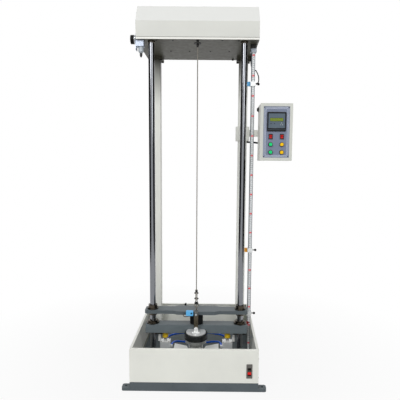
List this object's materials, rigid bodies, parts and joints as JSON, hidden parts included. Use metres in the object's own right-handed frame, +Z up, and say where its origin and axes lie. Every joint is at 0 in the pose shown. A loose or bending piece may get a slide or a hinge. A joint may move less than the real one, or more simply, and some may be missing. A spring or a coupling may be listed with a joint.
{
  "type": "toe cap impact tester",
  "caption": "Drop-weight impact tester for shoe toe caps: twin guide columns, winch hood, hoist and hammer beams with catch hook, anvil tray, rebound catchers, control box.",
  "frame": {"origin": "on the floor, under the middle of the base plate", "axes": "+X to the operator's right, +Y to the back of the machine, +Z up along the guide columns"},
  "size_m": [0.811, 0.6576, 1.822],
  "materials": {
    "base_paint": "satin slate grey enamel",
    "tray_paint": "fine-textured off-white powder coat",
    "column_chrome": "ground and hard chromed",
    "flange_steel": "turned and milled steel",
    "post_paint": "off-white powder coat",
    "plate_paint": "light grey paint",
    "hood_paint": "fine-textured off-white powder coat",
    "winch_metal": "painted castings",
    "drum_steel": "turned steel",
    "hoist_steel": "slate grey enamel on a steel plate",
    "drop_steel": "slate grey enamel on a steel bar",
    "bearing_steel": "turned steel",
    "rope_steel": "galvanised wire rope",
    "magnet_black": "black enamel",
    "sensor_blue": "light blue moulding",
    "hook_bronze": "dark bronze, worn bright at the edges",
    "clevis_steel": "turned steel",
    "weight_black": "gloss black enamel",
    "striker_steel": "hardened and ground",
    "pointer_red": "dark red enamel",
    "anvil_steel": "ground steel",
    "screw_steel": "blackened and knurled",
    "side_plate_white": "white enamel",
    "catcher_aluminium": "anodised",
    "rod_chrome": "hard chromed",
    "bumper_yellow": "polyurethane",
    "valve_aluminium": "cast body, moulded coil",
    "tube_blue": "translucent blue polyurethane",
    "regulator_grey": "die cast, clear bowl below",
    "knob_black": "moulded",
    "scale_aluminium": "anodised profile",
    "slider_aluminium": "anodised blocks",
    "ball_black": "moulded balls on steel stems",
    "box_paint": "light grey powder coat",
    "panel_paint": "blue-grey printed sheet",
    "display_black": "moulded bezel",
    "breaker_black": "moulded",
    "toggle_red": "moulded",
    "button_green": "translucent lens",
    "button_yellow": "translucent lens",
    "cable_black": "smooth jacket"
  },
  "bodies": {
    "frame": {"base_plate": "base_paint", "tray_front_panel": "tray_paint", "tray_rear_panel": "tray_paint", "tray_side_panels": "tray_paint", "guide_columns": "column_chrome", "frame_flanges": "flange_steel", "rear_posts": "post_paint", "top_plate": "plate_paint", "hood": "hood_paint", "winch_drive": "winch_metal", "rope_guide": "drum_steel", "air_regulator": "regulator_grey", "height_scale": "scale_aluminium", "control_box": "box_paint", "control_panel": "panel_paint", "display_unit": "display_black", "support_arm": "post_paint", "circuit_breaker": "breaker_black", "catcher_bodies": "catcher_aluminium", "air_valve": "valve_aluminium", "air_tubes": "tube_blue", "anvil": "anvil_steel", "specimen_clamp": "anvil_steel", "side_plates": "side_plate_white", "cables": "cable_black", "hoist_rope": "rope_steel"},
    "hoist": {"hoist_beam": "hoist_steel", "hoist_bearings": "bearing_steel", "release_magnet": "magnet_black", "release_sensor": "sensor_blue", "rope_end": "rope_steel"},
    "drop": {"drop_beam": "drop_steel", "drop_bearings": "bearing_steel", "hammer_weight": "weight_black", "striker_holder": "striker_steel", "striker": "striker_steel", "hook_clevis": "clevis_steel", "height_pointer": "pointer_red"},
    "hook": {"catch_hook": "hook_bronze"},
    "drum": {"winch_drum": "drum_steel"},
    "catcher_left": {"catcher_rod_left": "rod_chrome", "bumper_left": "bumper_yellow"},
    "catcher_right": {"catcher_rod_right": "rod_chrome", "bumper_right": "bumper_yellow"},
    "slider_upper": {"upper_slider": "slider_aluminium"},
    "slider_middle": {"middle_slider": "slider_aluminium"},
    "slider_lower": {"lower_slider": "slider_aluminium"},
    "thumb_upper": {"upper_thumb_screw": "ball_black"},
    "thumb_middle": {"middle_thumb_screw": "ball_black"},
    "thumb_lower": {"lower_thumb_screw": "ball_black"},
    "toggle": {"breaker_toggle": "toggle_red"},
    "rocker_l": {"rocker_left": "toggle_red"},
    "rocker_r": {"rocker_right": "toggle_red"},
    "green_upper": {"green_button_upper": "button_green"},
    "green_lower": {"green_button_lower": "button_green"},
    "yellow_upper": {"yellow_button_upper": "button_yellow"},
    "yellow_lower": {"yellow_button_lower": "button_yellow"},
    "fork": {"clamp_fork": "anvil_steel"},
    "fork_screw": {"clamp_screw": "screw_steel"},
    "knob": {"regulator_knob": "knob_black"}
  },
  "joints": [
    {"name": "hoist_slide", "type": "slide", "parent": "frame", "child": "hoist", "axis": [0, 0, 1], "range_m": [0, 1.15], "deforming": ["hoist_rope"]},
    {"name": "drop_slide", "type": "slide", "parent": "frame", "child": "drop", "axis": [0, 0, 1], "range_m": [0, 1.15]},
    {"name": "drum_spin", "type": "hinge", "parent": "frame", "child": "drum", "pos_m": [0, -0.0292, 1.722], "axis": [1, 0, 0], "range_deg": [-1560, 0]},
    {"name": "catch_hook_pivot", "type": "hinge", "parent": "drop", "child": "hook", "pos_m": [0, -0.11, 0.219], "axis": [0, 1, 0], "range_deg": [0, 20], "stiffness_Nm_per_rad": 0.5},
    {"name": "catcher_left_slide", "type": "slide", "parent": "frame", "child": "catcher_left", "axis": [0, 0, 1], "range_m": [-0.018, 0]},
    {"name": "catcher_right_slide", "type": "slide", "parent": "frame", "child": "catcher_right", "axis": [0, 0, 1], "range_m": [-0.018, 0]},
    {"name": "upper_slider_slide", "type": "slide", "parent": "frame", "child": "slider_upper", "axis": [0, 0, 1], "range_m": [-0.4, 0.08]},
    {"name": "middle_slider_slide", "type": "slide", "parent": "frame", "child": "slider_middle", "axis": [0, 0, 1], "range_m": [-0.24, 0.42]},
    {"name": "lower_slider_slide", "type": "slide", "parent": "frame", "child": "slider_lower", "axis": [0, 0, 1], "range_m": [-0.045, 0.08]},
    {"name": "upper_thumb_turn", "type": "hinge", "parent": "slider_upper", "child": "thumb_upper", "pos_m": [0.3061, 0.005, 1.46], "axis": [1, 0, 0], "range_deg": [0, 720]},
    {"name": "middle_thumb_turn", "type": "hinge", "parent": "slider_middle", "child": "thumb_middle", "pos_m": [0.3061, 0.005, 0.606], "axis": [1, 0, 0], "range_deg": [0, 720]},
    {"name": "lower_thumb_turn", "type": "hinge", "parent": "slider_lower", "child": "thumb_lower", "pos_m": [0.3061, 0.005, 0.262], "axis": [1, 0, 0], "range_deg": [0, 720]},
    {"name": "breaker_toggle_hinge", "type": "hinge", "parent": "frame", "child": "toggle", "pos_m": [0.257, -0.318, 0.0985], "axis": [-1, 0, 0], "range_deg": [0, 80]},
    {"name": "rocker_left_hinge", "type": "hinge", "parent": "frame", "child": "rocker_l", "pos_m": [0.365, -0.0615, 1.194], "axis": [-1, 0, 0], "range_deg": [0, 16]},
    {"name": "rocker_right_hinge", "type": "hinge", "parent": "frame", "child": "rocker_r", "pos_m": [0.421, -0.0615, 1.194], "axis": [-1, 0, 0], "range_deg": [0, 16]},
    {"name": "green_upper_press", "type": "slide", "parent": "frame", "child": "green_upper", "axis": [0, 1, 0], "range_m": [0, 0.004], "stiffness_N_per_m": 300},
    {"name": "green_lower_press", "type": "slide", "parent": "frame", "child": "green_lower", "axis": [0, 1, 0], "range_m": [0, 0.004], "stiffness_N_per_m": 300},
    {"name": "yellow_upper_press", "type": "slide", "parent": "frame", "child": "yellow_upper", "axis": [0, 1, 0], "range_m": [0, 0.004], "stiffness_N_per_m": 300},
    {"name": "yellow_lower_press", "type": "slide", "parent": "frame", "child": "yellow_lower", "axis": [0, 1, 0], "range_m": [0, 0.004], "stiffness_N_per_m": 300},
    {"name": "clamp_fork_slide", "type": "slide", "parent": "frame", "child": "fork", "axis": [0, 0, 1], "range_m": [0, 0.01]},
    {"name": "clamp_screw_turn", "type": "hinge", "parent": "fork", "child": "fork_screw", "pos_m": [0, -0.032, 0.067], "axis": [0, 0, 1], "range_deg": [0, 2400]},
    {"name": "regulator_knob_turn", "type": "hinge", "parent": "frame", "child": "knob", "pos_m": [-0.3145, -0.06, 1.655], "axis": [1, 0, 0], "range_deg": [0, 1080]}
  ],
  "couplings": [
    {"joint": "drop_slide", "follows": "hoist_slide", "ratio": 1},
    {"joint": "drum_spin", "follows": "hoist_slide", "rad_per_m": -23.529},
    {"joint": "catcher_right_slide", "follows": "catcher_left_slide", "ratio": 1},
    {"joint": "clamp_screw_turn", "follows": "clamp_fork_slide", "rad_per_m": 4188.8}
  ]
}
